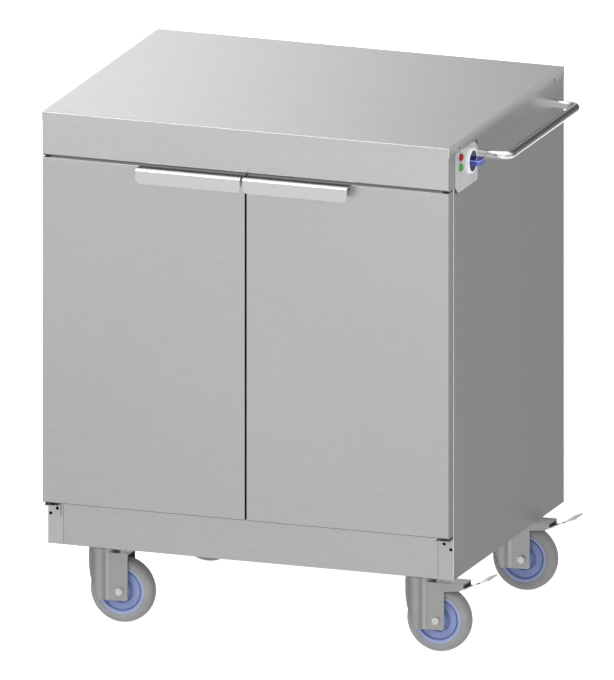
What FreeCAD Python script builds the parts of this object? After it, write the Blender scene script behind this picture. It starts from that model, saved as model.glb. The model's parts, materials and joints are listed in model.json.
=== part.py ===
import FreeCAD, Part
import math
import os

V = FreeCAD.Vector

# ---------------------------------------------------------------------------
# Mobile heated service cabinet: flat worktop over a two-door heated cavity,
# control panel and push handle on the right side, four swivel casters.
# Millimetres. +X to the right, -Y towards the doors, +Z up.
# Z = 0 is the floor. X = 0 and Y = 0 are the middle of the overall box, so
# the design frame (X = 0 mid-width, Y = 0 mid-depth of the worktop) is moved
# by SHIFT_X, SHIFT_Y when the pieces are written.
# ---------------------------------------------------------------------------

# worktop
TOP_W = 800.0            # worktop width (X)
TOP_D = 632.0            # worktop depth (Y)
TOP_Z = 988.0            # top surface above the floor
SKIRT_H = 19.5           # folded skirt height
SHEET = 1.2              # outer sheet thickness
TOP_R = 2.2              # outer bend radius of the worktop

# cabinet body
BODY_X = TOP_W / 2 - SHEET          # outer face of the side panels, 398.8
FRONT_Y = -286.0                    # front face of the return flanges
REAR_Y = TOP_D / 2 - SHEET          # outer face of the back panel, 314.8
BODY_Z0 = 155.0                     # underside of the body
BODY_Z1 = 984.0                     # top edge of the side panels
FLANGE_X = 367.8                    # inner edge of the front return flanges

# doors and fascia
DOOR_Y0 = -TOP_D / 2 + SHEET        # front face, -314.8
DOOR_T = 23.0                       # door thickness
DOOR_Y1 = DOOR_Y0 + DOOR_T          # back face, -291.8
DOOR_Z0 = 240.4
DOOR_Z1 = 900.8
DOOR_GAP = 3.0                      # gap between the two doors
FASCIA_Z0 = 903.4
FASCIA_R = 4.0                      # outer bend radius along the bottom of the fascia
DOOR_R = 1.6                        # outer bend radius of the door skins
PIVOT_X = BODY_X - 9.0              # pivot pin axis, 389.8
PIVOT_Y = DOOR_Y1 - 9.0             # -300.8
PIN_R = 4.0
PIN_CLEAR = 0.06

# door pulls
PULL_L = 205.0
PULL_OUT = 25.0
PULL_LIP = 28.0
PULL_R = 5.0
PULL_CORNER = 9.0

# cavity
CAV_Z0 = 250.0
CAV_Z1 = 880.0
CAV_Y1 = 283.0
LINER = 1.0
LINER_R = 12.0

# side controls, measured back from the worktop front edge and down from its top
LABEL_Y = (37.0, 157.0)
LABEL_Z = (20.0, 98.0)
LAMP_Y = 64.0
LAMP_RED_Z = 32.5
LAMP_GREEN_Z = 52.4
LAMP_R = 7.25
KNOB_Y = 113.4
KNOB_Z = 51.0
KNOB_R = 19.0
BEZEL_R = 24.4
GRIP_OUT = 20.0

# push handle
HANDLE_R = 8.0
HANDLE_Y = (185.0, 567.0)
HANDLE_Z = 55.5
HANDLE_OUT = 51.5
HANDLE_BEND = 20.0

# casters
CASTER_X = 310.8
CASTER_Y = (-220.0, 248.0)
TRAIL = 37.0
WHEEL_R = 62.5
TYRE_HALF = 16.0
HUB_R = 46.0
FORK_Y = 21.7
FORK_T = 2.5
FORK_TOP = 72.5
FORK_BOTTOM = -18.0
FORK_NOSE_A = 30.0
FORK_NOSE_B = 27.0
PLATE_Z = (151.0, 155.0)
PEDAL_PIVOT = (36.0, 63.5)          # X, Z from the wheel centre

# overall box: left edge of the worktop to the push handle, pull lips to gland
BOX_X0 = -TOP_W / 2
BOX_X1 = BODY_X + HANDLE_OUT + HANDLE_R
GLAND_OUT = 24.0
BOX_Y0 = DOOR_Y0 - PULL_OUT
BOX_Y1 = REAR_Y + GLAND_OUT
SHIFT_X = -(BOX_X0 + BOX_X1) / 2
SHIFT_Y = -(BOX_Y0 + BOX_Y1) / 2

os.makedirs("parts", exist_ok=True)


# ---------------------------------------------------------------------------
# helpers
# ---------------------------------------------------------------------------

def box(x0, x1, y0, y1, z0, z1):
    return Part.makeBox(x1 - x0, y1 - y0, z1 - z0, V(x0, y0, z0))


def cylx(y, z, r, x0, x1):
    return Part.makeCylinder(r, x1 - x0, V(x0, y, z), V(1, 0, 0))


def cyly(x, z, r, y0, y1):
    return Part.makeCylinder(r, y1 - y0, V(x, y0, z), V(0, 1, 0))


def cylz(x, y, r, z0, z1):
    return Part.makeCylinder(r, z1 - z0, V(x, y, z0), V(0, 0, 1))


def fuse(items):
    s = items[0]
    if len(items) > 1:
        s = s.multiFuse(items[1:])
    return s.removeSplitter()


def cut(a, items):
    for b in items:
        a = a.cut(b)
    return a


def fillet_where(shape, r, test):
    edges = []
    for e in shape.Edges:
        p = e.valueAt((e.FirstParameter + e.LastParameter) / 2)
        vs = e.Vertexes
        if len(vs) == 2 and test(p, vs[1].Point.sub(vs[0].Point)):
            edges.append(e)
    return shape.makeFillet(r, edges)


def poly_face(pts):
    w = Part.makePolygon([V(*p) for p in pts] + [V(*pts[0])])
    return Part.Face(w)


def prism(pts, vec):
    return poly_face(pts).extrude(V(*vec))


def hexagon(cx, cy, cz, af, axis, length, turn=0.0):
    r = af / math.sqrt(3.0)
    pts = []
    for i in range(6):
        a = math.radians(60 * i + turn)
        u, v = r * math.cos(a), r * math.sin(a)
        if axis == "x":
            pts.append((cx, cy + u, cz + v))
        elif axis == "y":
            pts.append((cx + u, cy, cz + v))
        else:
            pts.append((cx + u, cy + v, cz))
    vec = {"x": (length, 0, 0), "y": (0, length, 0), "z": (0, 0, length)}[axis]
    return prism(pts, vec)


def round_rect_x(x0, x1, y0, y1, z0, z1, r):
    """Plate normal to X with its four corners rounded."""
    b = box(x0, x1, y0, y1, z0, z1)
    return fillet_where(b, r, lambda p, d: abs(d.x) > 1e-6)


def path_wire(points, radii):
    """Straight runs joined by tangent arcs."""
    pts = [V(*p) for p in points]
    edges = []
    start = pts[0]
    for i in range(1, len(pts) - 1):
        a = pts[i - 1].sub(pts[i]).normalize()
        b = pts[i + 1].sub(pts[i]).normalize()
        ang = a.getAngle(b)
        r = radii[i - 1] if isinstance(radii, (list, tuple)) else radii
        t = r / math.tan(ang / 2)
        p1 = pts[i].add(V(a).multiply(t))
        p2 = pts[i].add(V(b).multiply(t))
        bis = a.add(b).normalize()
        centre = pts[i].add(V(bis).multiply(r / math.sin(ang / 2)))
        mid = centre.sub(V(bis).multiply(r))
        if p1.sub(start).Length > 1e-6:
            edges.append(Part.LineSegment(start, p1).toShape())
        edges.append(Part.Arc(p1, mid, p2).toShape())
        start = p2
    edges.append(Part.LineSegment(start, pts[-1]).toShape())
    return Part.Wire(edges)


def tube(points, radii, r):
    w = path_wire(points, radii)
    p = V(*points[0])
    d = V(*points[1]).sub(p).normalize()
    prof = Part.Wire([Part.makeCircle(r, p, d)])
    return w.makePipeShell([prof], True, False)


def revolve_y(profile, cx, cz):
    """profile: (radius, y) pairs, turned about the Y axis through (cx, cz)."""
    pts = [(cx + r, y, cz) for r, y in profile]
    f = poly_face(pts)
    return f.revolve(V(cx, 0, cz), V(0, 1, 0), 360)


def mirror_x(s):
    return s.mirror(V(0, 0, 0), V(1, 0, 0))


def export(name, shapes):
    if not isinstance(shapes, (list, tuple)):
        shapes = [shapes]
    solids = []
    for s in shapes:
        solids.extend(s.Solids)
    moved = []
    for s in solids:
        c = s.copy()
        c.translate(V(SHIFT_X, SHIFT_Y, 0))
        moved.append(c)
    out = moved[0] if len(moved) == 1 else Part.makeCompound(moved)
    vol = sum(s.Volume for s in moved)
    bad = [i for i, s in enumerate(moved) if not s.isValid()]
    print("%-26s solids %2d  vol %12.0f %s" % (name, len(moved), vol, ("BAD " + str(bad)) if bad else ""))
    out.exportStep("parts/%s.step" % name)


def back_from_front(d):
    return -TOP_D / 2 + d


# ---------------------------------------------------------------------------
# worktop: folded tray, open underneath
# ---------------------------------------------------------------------------
hx, hy = TOP_W / 2, TOP_D / 2
skirt_z = TOP_Z - SKIRT_H
outer = box(-hx, hx, -hy, hy, skirt_z, TOP_Z)
outer = fillet_where(outer, TOP_R, lambda p, d: abs(p.z - TOP_Z) < 1e-6 or abs(d.z) > 1)
inner = box(-hx + SHEET, hx - SHEET, -hy + SHEET, hy - SHEET, skirt_z - 1, TOP_Z - SHEET)
worktop = outer.cut(inner)
SCREW_Z = TOP_Z - 12.4
SCREW_Y = (back_from_front(57.0), -back_from_front(57.0))
screws = []
for sx in (-1, 1):
    for y in SCREW_Y:
        cone = Part.makeCone(2.0, 2.8, SHEET, V(sx * (hx - SHEET), y, SCREW_Z), V(sx, 0, 0))
        worktop = worktop.cut(cone)
        head = Part.makeCone(2.0, 2.8, SHEET, V(sx * (hx - SHEET), y, SCREW_Z), V(sx, 0, 0))
        shank = Part.makeCylinder(2.0, 9.0, V(sx * (hx - SHEET - 9.0), y, SCREW_Z), V(sx, 0, 0))
        sock = hexagon(sx * (hx - 1.0), y, SCREW_Z, 2.5, "x", sx * 2.0)
        screws.append(fuse([head, shank]).cut(sock))
export("worktop", worktop)
export("worktop_screws", screws)

# ---------------------------------------------------------------------------
# side panels with front return flange
# ---------------------------------------------------------------------------
LAMP_YY = back_from_front(LAMP_Y)
RED_Z = TOP_Z - LAMP_RED_Z
GREEN_Z = TOP_Z - LAMP_GREEN_Z
KNOB_YY = back_from_front(KNOB_Y)
KNOB_ZZ = TOP_Z - KNOB_Z
HANDLE_YY = [back_from_front(v) for v in HANDLE_Y]
HANDLE_ZZ = TOP_Z - HANDLE_Z
LOWPLATE = (232.6, 234.8)
HOLES = ((6.0, 213.0), (19.0, 223.0))    # adjusting holes: in from the side face, height


def side_panel():
    """Right-hand panel: sheet plus front return flange, bend rounded."""
    o = box(FLANGE_X, BODY_X, FRONT_Y, REAR_Y - SHEET, BODY_Z0, BODY_Z1)
    o = fillet_where(o, 1.8, lambda p, d: abs(d.z) > 1 and abs(p.x - BODY_X) < 1e-6 and abs(p.y - FRONT_Y) < 1e-6)
    i = box(FLANGE_X - 1, BODY_X - SHEET, FRONT_Y + SHEET, REAR_Y, BODY_Z0 - 1, BODY_Z1 + 1)
    s = o.cut(i)
    # slot for the lower hinge plate and two adjusting holes below it
    s = s.cut(box(371.0, BODY_X - SHEET, FRONT_Y - 1, FRONT_Y + SHEET + 1, LOWPLATE[0], LOWPLATE[1]))
    for dx, z in HOLES:
        s = s.cut(cyly(BODY_X - dx, z, 3.2, FRONT_Y - 1, FRONT_Y + SHEET + 1))
    # clearance for the worktop screw shanks
    for y in SCREW_Y:
        s = s.cut(cylx(y, SCREW_Z, 2.2, BODY_X - SHEET - 1, BODY_X + 1))
    return s


right = side_panel()
# the left-hand flange also has a narrow relief slot
left = mirror_x(right).cut(box(-373.2, -372.0, FRONT_Y - 1, FRONT_Y + SHEET + 1, 210.0, 231.5))
right = cut(right, [
    cylx(LAMP_YY, RED_Z, 6.2, 390, 405),
    cylx(LAMP_YY, GREEN_Z, 6.2, 390, 405),
    cylx(KNOB_YY, KNOB_ZZ, 5.3, 390, 405),
    cylx(HANDLE_YY[0], HANDLE_ZZ, 4.2, 390, 405),
    cylx(HANDLE_YY[1], HANDLE_ZZ, 4.2, 390, 405),
])
export("side_panel_right", right)
export("side_panel_left", left)

# ---------------------------------------------------------------------------
# back panel, base plate, front skirt and top rail
# ---------------------------------------------------------------------------
GLAND_X, GLAND_Z = 340.0, 940.0
back = box(-BODY_X, BODY_X, REAR_Y - SHEET, REAR_Y, BODY_Z0, BODY_Z1)
back = back.cut(cyly(GLAND_X, GLAND_Z, 10.2, REAR_Y - 3, REAR_Y + 3))
# two rows of ventilation slots into the control compartment
for row in range(2):
    for i in range(7):
        x0 = -330.0 + i * 42.0
        z0 = 925.0 + row * 14.0
        back = back.cut(box(x0, x0 + 30.0, REAR_Y - 3, REAR_Y + 3, z0, z0 + 4.0))
export("back_panel", back)

base = box(-BODY_X + SHEET, BODY_X - SHEET, FRONT_Y + SHEET, REAR_Y - SHEET, BODY_Z0, BODY_Z0 + 2.0)
BOLT_DX, BOLT_DY = 38.0, 28.0
caster_pos = {
    "front_left": (-CASTER_X, CASTER_Y[0]),
    "front_right": (CASTER_X, CASTER_Y[0]),
    "rear_left": (-CASTER_X, CASTER_Y[1]),
    "rear_right": (CASTER_X, CASTER_Y[1]),
}
for cx, cy in caster_pos.values():
    for dx in (-BOLT_DX, BOLT_DX):
        for dy in (-BOLT_DY, BOLT_DY):
            base = base.cut(cylz(cx + dx, cy + dy, 4.2, BODY_Z0 - 1, BODY_Z0 + 3))
export("base_plate", base)

skirt = box(-FLANGE_X + 0.6, FLANGE_X - 0.6, FRONT_Y, FRONT_Y + SHEET, BODY_Z0, CAV_Z0)
export("front_skirt", skirt)
rail = box(-FLANGE_X, FLANGE_X, FRONT_Y, FRONT_Y + SHEET, CAV_Z1, BODY_Z1)
export("front_top_rail", rail)

# fascia: front strip with side returns and a bottom return
f_out = box(-BODY_X, BODY_X, DOOR_Y0, FRONT_Y, FASCIA_Z0, BODY_Z1)
f_out = fillet_where(f_out, DOOR_R, lambda p, d: abs(p.y - DOOR_Y0) < 1e-6 and abs(d.z) > 1)
f_out = f_out.cut(box(-BODY_X - 1, BODY_X + 1, DOOR_Y0 - 1, DOOR_Y0 + FASCIA_R, FASCIA_Z0 - 1, FASCIA_Z0 + FASCIA_R)
                  .cut(cylx(DOOR_Y0 + FASCIA_R, FASCIA_Z0 + FASCIA_R, FASCIA_R, -BODY_X - 2, BODY_X + 2)))
f_in = box(-BODY_X + SHEET, BODY_X - SHEET, DOOR_Y0 + SHEET, FRONT_Y + 1, FASCIA_Z0 + SHEET, BODY_Z1 + 1)
f_in = fillet_where(f_in, FASCIA_R - SHEET, lambda p, d: abs(d.x) > 1 and abs(p.y - DOOR_Y0 - SHEET) < 1e-6 and p.z < FASCIA_Z0 + 2)
fascia = f_out.cut(f_in)
# open the bottom return at both ends for the hinge pins, and back to 24 mm
fascia = cut(fascia, [
    box(-BODY_X + SHEET, -365.0, DOOR_Y0 + FASCIA_R + 0.2, FRONT_Y + 1, FASCIA_Z0 - 1, FASCIA_Z0 + SHEET),
    box(365.0, BODY_X - SHEET, DOOR_Y0 + FASCIA_R + 0.2, FRONT_Y + 1, FASCIA_Z0 - 1, FASCIA_Z0 + SHEET),
    box(-366.0, 366.0, DOOR_Y0 + 24.0, FRONT_Y + 1, FASCIA_Z0 - 1, FASCIA_Z0 + SHEET),
])
export("top_fascia", fascia)

# ---------------------------------------------------------------------------
# liner, insulation
# ---------------------------------------------------------------------------
lo = box(-FLANGE_X - LINER, FLANGE_X + LINER, FRONT_Y + SHEET, CAV_Y1 + LINER, CAV_Z0, CAV_Z1)
lo = fillet_where(lo, LINER_R + LINER, lambda p, d: abs(d.z) > 1 and p.y > 0)
li = box(-FLANGE_X, FLANGE_X, FRONT_Y - 40, CAV_Y1, CAV_Z0 - 1, CAV_Z1 + 1)
li = fillet_where(li, LINER_R, lambda p, d: abs(d.z) > 1 and p.y > 0)
liner = lo.cut(li)
ELEM_Y, ELEM_Z, ELEM_R = 40.0, 276.0, 4.2
for s in (-1, 1):
    liner = liner.cut(cylx(s * ELEM_Y, ELEM_Z, ELEM_R + 0.2, 360, 375))
export("liner_walls", liner)
plates = []
for z0 in (CAV_Z0 - SHEET, CAV_Z1):
    plates.append(box(-FLANGE_X - LINER, FLANGE_X + LINER, FRONT_Y + SHEET, CAV_Y1 + LINER, z0, z0 + SHEET))
# hole in the ceiling for the thermostat's capillary
plates[1] = plates[1].cut(cylz(350.6, KNOB_YY, 6.0, CAV_Z1 - 2, CAV_Z1 + 3))
export("liner_floor_and_ceiling", plates)

ins = []
side_in = FLANGE_X + LINER
side_out = BODY_X - SHEET
ins_y0, ins_y1 = FRONT_Y + SHEET, CAV_Y1 + LINER
slab = box(side_in, side_out, ins_y0, ins_y1, CAV_Z0, CAV_Z1)
ins.append(mirror_x(slab))
ins.append(slab.cut(box(side_in - 1, side_out + 1, -64.0, 64.0, CAV_Z0 - 1, CAV_Z1 + 1)))
ins.append(box(-side_out, side_out, ins_y1, REAR_Y - SHEET, CAV_Z0, CAV_Z1))
ins.append(box(-side_out, 300.0, ins_y0, REAR_Y - SHEET - 0.2, CAV_Z1 + SHEET, CAV_Z1 + SHEET + 36.0))
ins.append(box(-side_out + 0.2, side_out - 0.2, -236.0, REAR_Y - SHEET - 0.2, CAV_Z0 - SHEET - 40.0, CAV_Z0 - SHEET))
export("insulation_slabs", ins)

# ---------------------------------------------------------------------------
# shelf racks and shelves
# ---------------------------------------------------------------------------
SHELF_Z = (480.0, 680.0)


def rack():
    parts_ = []
    for y in (-170.0, 190.0):
        up = box(FLANGE_X - 8.0, FLANGE_X, y - 12.5, y + 12.5, CAV_Z0 + 60.0, CAV_Z1 - 30.0)
        up = up.cut(box(FLANGE_X - 6.8, FLANGE_X + 1, y - 11.3, y + 11.3, CAV_Z0, CAV_Z1))
        for k in range(13):
            z = CAV_Z0 + 90.0 + k * 40.0
            if min(abs(z - SHELF_Z[0] + 10.0), abs(z - SHELF_Z[1] + 10.0)) > 22.0:
                up = up.cut(box(FLANGE_X - 9.0, FLANGE_X - 6.0, y - 5.0, y + 5.0, z - 4.0, z + 4.0))
        parts_.append(up)
    for z in SHELF_Z:
        ang = box(FLANGE_X - 26.0, FLANGE_X - 8.0, -255.0, 262.0, z - 1.2, z)
        web = box(FLANGE_X - 9.2, FLANGE_X - 8.0, -255.0, 262.0, z - 20.0, z)
        parts_.append(ang)
        parts_.append(web)
    return fuse(parts_)


rr = rack()
export("shelf_racks", [rr, mirror_x(rr)])


def shelf(z):
    x1 = FLANGE_X - 10.0
    y0, y1 = -262.0, 270.0
    o = box(-x1, x1, y0, y1, z, z + 1.2)
    lips = [box(-x1 + 20.0, x1 - 20.0, y0, y0 + 1.2, z - 18.0, z + 1.2),
            box(-x1 + 20.0, x1 - 20.0, y1 - 1.2, y1, z - 18.0, z + 1.2)]
    s = fuse([o] + lips)
    cuts = []
    nx, ny = 6, 7
    for i in range(nx):
        for j in range(ny):
            cx = -x1 + 75.0 + i * (2 * x1 - 150.0) / (nx - 1)
            cy = y0 + 50.0 + j * (y1 - y0 - 100.0) / (ny - 1)
            slot = box(cx - 40.0, cx + 40.0, cy - 6.0, cy + 6.0, z - 1, z + 2)
            slot = slot.fuse(cylz(cx - 40.0, cy, 6.0, z - 1, z + 2)).fuse(cylz(cx + 40.0, cy, 6.0, z - 1, z + 2))
            cuts.append(slot)
    return s.cut(Part.makeCompound(cuts))


export("shelf_lower", shelf(SHELF_Z[0]))
export("shelf_upper", shelf(SHELF_Z[1]))

# ---------------------------------------------------------------------------
# heating element and humidity pan
# ---------------------------------------------------------------------------
el = tube([(FLANGE_X + LINER, -ELEM_Y, ELEM_Z), (-300.0 - ELEM_Y, -ELEM_Y, ELEM_Z),
           (-300.0 - ELEM_Y, ELEM_Y, ELEM_Z), (FLANGE_X + LINER, ELEM_Y, ELEM_Z)], ELEM_Y - 0.01, ELEM_R)
cover = box(side_in, side_in + 24.0, -60.0, 60.0, 262.0, 292.0)
cover = fillet_where(cover, 3.0, lambda p, d: p.x > side_in + 20.0 and abs(d.x) < 1e-6)
nuts = [hexagon(FLANGE_X - 5.0, s * ELEM_Y, ELEM_Z, 16.0, "x", 5.0) for s in (-1, 1)]
export("heating_element", fuse([el, cover] + nuts))

PAN = (-270.0, 230.0, -160.0, 160.0, 294.0, 340.0)
pan_o = box(*PAN)
pan_o = fillet_where(pan_o, 14.0, lambda p, d: abs(d.z) > 1)
pan_i = box(PAN[0] + 1.0, PAN[1] - 1.0, PAN[2] + 1.0, PAN[3] - 1.0, PAN[4] + 1.0, PAN[5] + 1)
pan_i = fillet_where(pan_i, 13.0, lambda p, d: abs(d.z) > 1)
lip = box(PAN[0] - 9.0, PAN[1] + 9.0, PAN[2] - 9.0, PAN[3] + 9.0, PAN[5] - 1.0, PAN[5])
lip = fillet_where(lip, 22.0, lambda p, d: abs(d.z) > 0.5)
feet = [box(PAN[0] + 20.0, PAN[1] - 20.0, s * 158.0 - 0.5, s * 158.0 + 0.5, CAV_Z0, PAN[4] + 1.0) for s in (-1, 1)]
pan = fuse([pan_o, lip] + feet).cut(pan_i)
export("water_pan", pan)

# ---------------------------------------------------------------------------
# hinges
# ---------------------------------------------------------------------------
UP_Z = FASCIA_Z0 + 1.2 + 0.2        # underside of the upper hinge plate


def plate_with_nose(z0, z1, y_back):
    """Plate from y_back forwards, its two front corners rounded, and a pin hole."""
    p = box(371.0, BODY_X - SHEET, PIVOT_Y - 10.0, y_back, z0, z1)
    p = fillet_where(p, 6.0, lambda q, d: abs(d.z) > 0.5 and q.y < PIVOT_Y)
    return p.cut(cylz(PIVOT_X, PIVOT_Y, PIN_R, z0 - 1, z1 + 1))


up = fuse([plate_with_nose(UP_Z, UP_Z + 3.0, FRONT_Y), box(371.0, 396.0, FRONT_Y - 3.0, FRONT_Y, UP_Z, UP_Z + 40.0)])
dn = fuse([plate_with_nose(LOWPLATE[0], LOWPLATE[1], FRONT_Y + SHEET + 3.0),
           box(371.0, BODY_X - SHEET - 0.2, FRONT_Y + SHEET, FRONT_Y + SHEET + 3.0, 200.0, LOWPLATE[1])])
dn = cut(dn, [cyly(BODY_X - dx, z, 3.2, FRONT_Y, FRONT_Y + 8) for dx, z in HOLES])
dn_left = mirror_x(dn).cut(box(-373.2, -372.0, FRONT_Y, FRONT_Y + 8, 210.0, 231.5))
export("hinge_brackets", [up, mirror_x(up), dn, dn_left])
pin_up = fuse([cylz(PIVOT_X, PIVOT_Y, PIN_R, 886.0, UP_Z + 3.0), cylz(PIVOT_X, PIVOT_Y, 6.5, UP_Z + 3.0, UP_Z + 6.0)])
pin_dn = cylz(PIVOT_X, PIVOT_Y, PIN_R, LOWPLATE[0], 256.0)     # set flush in the lower plate, so the adjusting holes stay clear
export("hinge_pins", [pin_up, mirror_x(pin_up), pin_dn, mirror_x(pin_dn)])

# ---------------------------------------------------------------------------
# doors (right-hand door is built, left-hand one is its mirror image)
# ---------------------------------------------------------------------------
dx0, dx1 = DOOR_GAP / 2, BODY_X
skin_o = box(dx0, dx1, DOOR_Y0, DOOR_Y1, DOOR_Z0, DOOR_Z1)
skin_o = fillet_where(skin_o, DOOR_R, lambda p, d: abs(p.y - DOOR_Y0) < 1e-6)
skin_i = box(dx0 + SHEET, dx1 - SHEET, DOOR_Y0 + SHEET, DOOR_Y1 + 1, DOOR_Z0 + SHEET, DOOR_Z1 - SHEET)
bush_hole = cylz(PIVOT_X, PIVOT_Y, 6.0, DOOR_Z0 - 5, DOOR_Z0 + 17.0).fuse(cylz(PIVOT_X, PIVOT_Y, 6.0, DOOR_Z1 - 17.0, DOOR_Z1 + 5))
skin = skin_o.cut(skin_i).cut(bush_hole)
core = box(dx0 + SHEET, dx1 - SHEET, DOOR_Y0 + SHEET, DOOR_Y1 - LINER, DOOR_Z0 + SHEET, DOOR_Z1 - SHEET).cut(bush_hole)
inner_panel = box(dx0 + SHEET, dx1 - SHEET, DOOR_Y1 - LINER, DOOR_Y1, DOOR_Z0 + SHEET, DOOR_Z1 - SHEET)

gy0, gy1 = DOOR_Y1, FRONT_Y - 0.3
g_o = box(3.0, 382.0, gy0, gy1, 242.5, 892.0)
g_o = fillet_where(g_o, 6.0, lambda p, d: abs(d.y) > 0.5)
g_i = box(12.0, 373.0, gy0 - 1, gy1 + 1, 251.0, 883.0)
gasket = g_o.cut(g_i)
# shallow groove along the face of the gasket
g_go = box(6.2, 378.8, gy1 - 1.6, gy1 + 1, 245.7, 888.8)
g_gi = box(8.8, 376.2, gy1 - 2, gy1 + 2, 248.3, 886.2)
gasket = gasket.cut(g_go.cut(g_gi))


def bush(z_face, up_):
    """Flanged bush; the lower one's flange is a spacer that stands on the hinge plate."""
    if up_:
        b = cylz(PIVOT_X, PIVOT_Y, 6.0, z_face - 17.0, z_face).fuse(cylz(PIVOT_X, PIVOT_Y, 8.0, z_face, z_face + 1.8))
        h = cylz(PIVOT_X, PIVOT_Y, PIN_R + PIN_CLEAR, z_face - 18.0, z_face + 3.0)
    else:
        b = cylz(PIVOT_X, PIVOT_Y, 6.0, z_face, z_face + 17.0).fuse(cylz(PIVOT_X, PIVOT_Y, 8.0, LOWPLATE[1] + 0.2, z_face))
        h = cylz(PIVOT_X, PIVOT_Y, PIN_R + PIN_CLEAR, z_face - 8.0, z_face + 18.0)
    return b.cut(h).removeSplitter()


strike = box(22.0, 58.0, DOOR_Y1, DOOR_Y1 + 1.5, 867.0, 879.0)
fittings = [bush(DOOR_Z1, True), bush(DOOR_Z0, False), strike]

# door pull: folded strip, back flange welded to the door face
px0 = dx0 + 1.0
px1 = px0 + PULL_L
py0, py1 = DOOR_Y0 - PULL_OUT, DOOR_Y0
po = box(px0, px1, py0, py1, DOOR_Z1 - PULL_LIP, DOOR_Z1)
po = fillet_where(po, PULL_R, lambda p, d: abs(d.x) > 1 and abs(p.y - py0) < 1e-6 and abs(p.z - DOOR_Z1) < 1e-6)
pi = box(px0 - 1, px1 + 1, py0 + SHEET, py1 - SHEET, DOOR_Z1 - PULL_LIP - 1, DOOR_Z1 - SHEET)
pi = fillet_where(pi, PULL_R - SHEET, lambda p, d: abs(d.x) > 1 and abs(p.y - py0 - SHEET) < 1e-6 and p.z > DOOR_Z1 - 5)
pull = po.cut(pi)
# back flange is shorter than the lip
pull = pull.cut(box(px0 - 1, px1 + 1, py1 - SHEET - 1, py1 + 1, DOOR_Z1 - PULL_LIP - 1, DOOR_Z1 - 20.0))
# rounded lower corners of the lip
for xc, sgn in ((px0, 1), (px1, -1)):
    zc = DOOR_Z1 - PULL_LIP
    blk = box(min(xc, xc + sgn * PULL_CORNER), max(xc, xc + sgn * PULL_CORNER), py0 - 1, py0 + 6, zc - 1, zc + PULL_CORNER)
    cy_ = cyly(xc + sgn * PULL_CORNER, zc + PULL_CORNER, PULL_CORNER, py0 - 2, py0 + 7)
    pull = pull.cut(blk.cut(cy_))

for side, fn in (("right", lambda s: s), ("left", mirror_x)):
    export("door_%s_skin" % side, fn(skin))
    export("door_%s_core" % side, fn(core))
    export("door_%s_inner_panel" % side, fn(inner_panel))
    export("door_%s_gasket" % side, fn(gasket))
    export("door_%s_fittings" % side, [fn(s) for s in fittings])
    export("door_%s_pull" % side, fn(pull))

# magnetic catches under the cavity ceiling, behind the doors' top edge
catches = []
for s in (-1, 1):
    c = box(24.0, 56.0, FRONT_Y - 3.8 + 0.0, FRONT_Y + 16.0, 868.0, CAV_Z1)
    c = fillet_where(c, 2.0, lambda p, d: abs(d.y) > 0.5 and p.z < 870)
    c = c.cut(box(24.0, 56.0, FRONT_Y - 5.0, FRONT_Y, 879.0, CAV_Z1 + 1))
    catches.append(c if s > 0 else mirror_x(c))
export("magnetic_catches", catches)

# ---------------------------------------------------------------------------
# push handle
# ---------------------------------------------------------------------------
hxo = BODY_X + HANDLE_OUT
hp = [(BODY_X, HANDLE_YY[0], HANDLE_ZZ), (hxo, HANDLE_YY[0], HANDLE_ZZ),
      (hxo, HANDLE_YY[1], HANDLE_ZZ), (BODY_X, HANDLE_YY[1], HANDLE_ZZ)]
h_out = tube(hp, HANDLE_BEND, HANDLE_R)
hin = [(BODY_X + 20.0, HANDLE_YY[0], HANDLE_ZZ), (hxo, HANDLE_YY[0], HANDLE_ZZ),
       (hxo, HANDLE_YY[1], HANDLE_ZZ), (BODY_X + 20.0, HANDLE_YY[1], HANDLE_ZZ)]
h_in = tube(hin, HANDLE_BEND, HANDLE_R - 1.5)
handle = h_out.cut(h_in)
bolts = []
for y in HANDLE_YY:
    handle = handle.cut(cylx(y, HANDLE_ZZ, 4.05, BODY_X - 1, BODY_X + 18.0))
    bolts.append(fuse([cylx(y, HANDLE_ZZ, 4.0, BODY_X - SHEET, BODY_X + 16.0),
                       hexagon(BODY_X - SHEET - 5.3, y, HANDLE_ZZ, 13.0, "x", 5.3)]))
export("push_handle", handle)

# caster bolts and nuts, M8, same bolt as the handle's
nuts_ = []
for cx, cy in caster_pos.values():
    for dx in (-BOLT_DX, BOLT_DX):
        for dy in (-BOLT_DY, BOLT_DY):
            b = fuse([cylz(cx + dx, cy + dy, 4.0, PLATE_Z[0], BODY_Z0 + 10.0),
                      hexagon(cx + dx, cy + dy, PLATE_Z[0] - 5.3, 13.0, "z", 5.3),
                      hexagon(cx + dx, cy + dy, BODY_Z0 + 2.0, 13.0, "z", 6.5)])
            nuts_.append(b)
export("hex_bolts_m8", bolts + nuts_)

# ---------------------------------------------------------------------------
# control panel on the right side
# ---------------------------------------------------------------------------
LX0, LX1 = BODY_X, BODY_X + 0.8
ly0, ly1 = back_from_front(LABEL_Y[0]), back_from_front(LABEL_Y[1])
lz0, lz1 = TOP_Z - LABEL_Z[1], TOP_Z - LABEL_Z[0]
label = round_rect_x(LX0, LX1, ly0, ly1, lz0, lz1, 7.0)
label = cut(label, [cylx(LAMP_YY, RED_Z, 6.2, 390, 405), cylx(LAMP_YY, GREEN_Z, 6.2, 390, 405),
                    cylx(KNOB_YY, KNOB_ZZ, 5.3, 390, 405)])
export("control_label", label)


def lens(z):
    prof = [(0.0, 0.0), (LAMP_R, 0.0), (LAMP_R, 2.0), (6.7, 3.0), (5.6, 4.1), (3.8, 5.0), (1.9, 5.5), (0.0, 5.65)]
    pts = [(LX1 + a, LAMP_YY + r, z) for r, a in prof]
    return poly_face(pts).revolve(V(LX1, LAMP_YY, z), V(1, 0, 0), 360)


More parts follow.
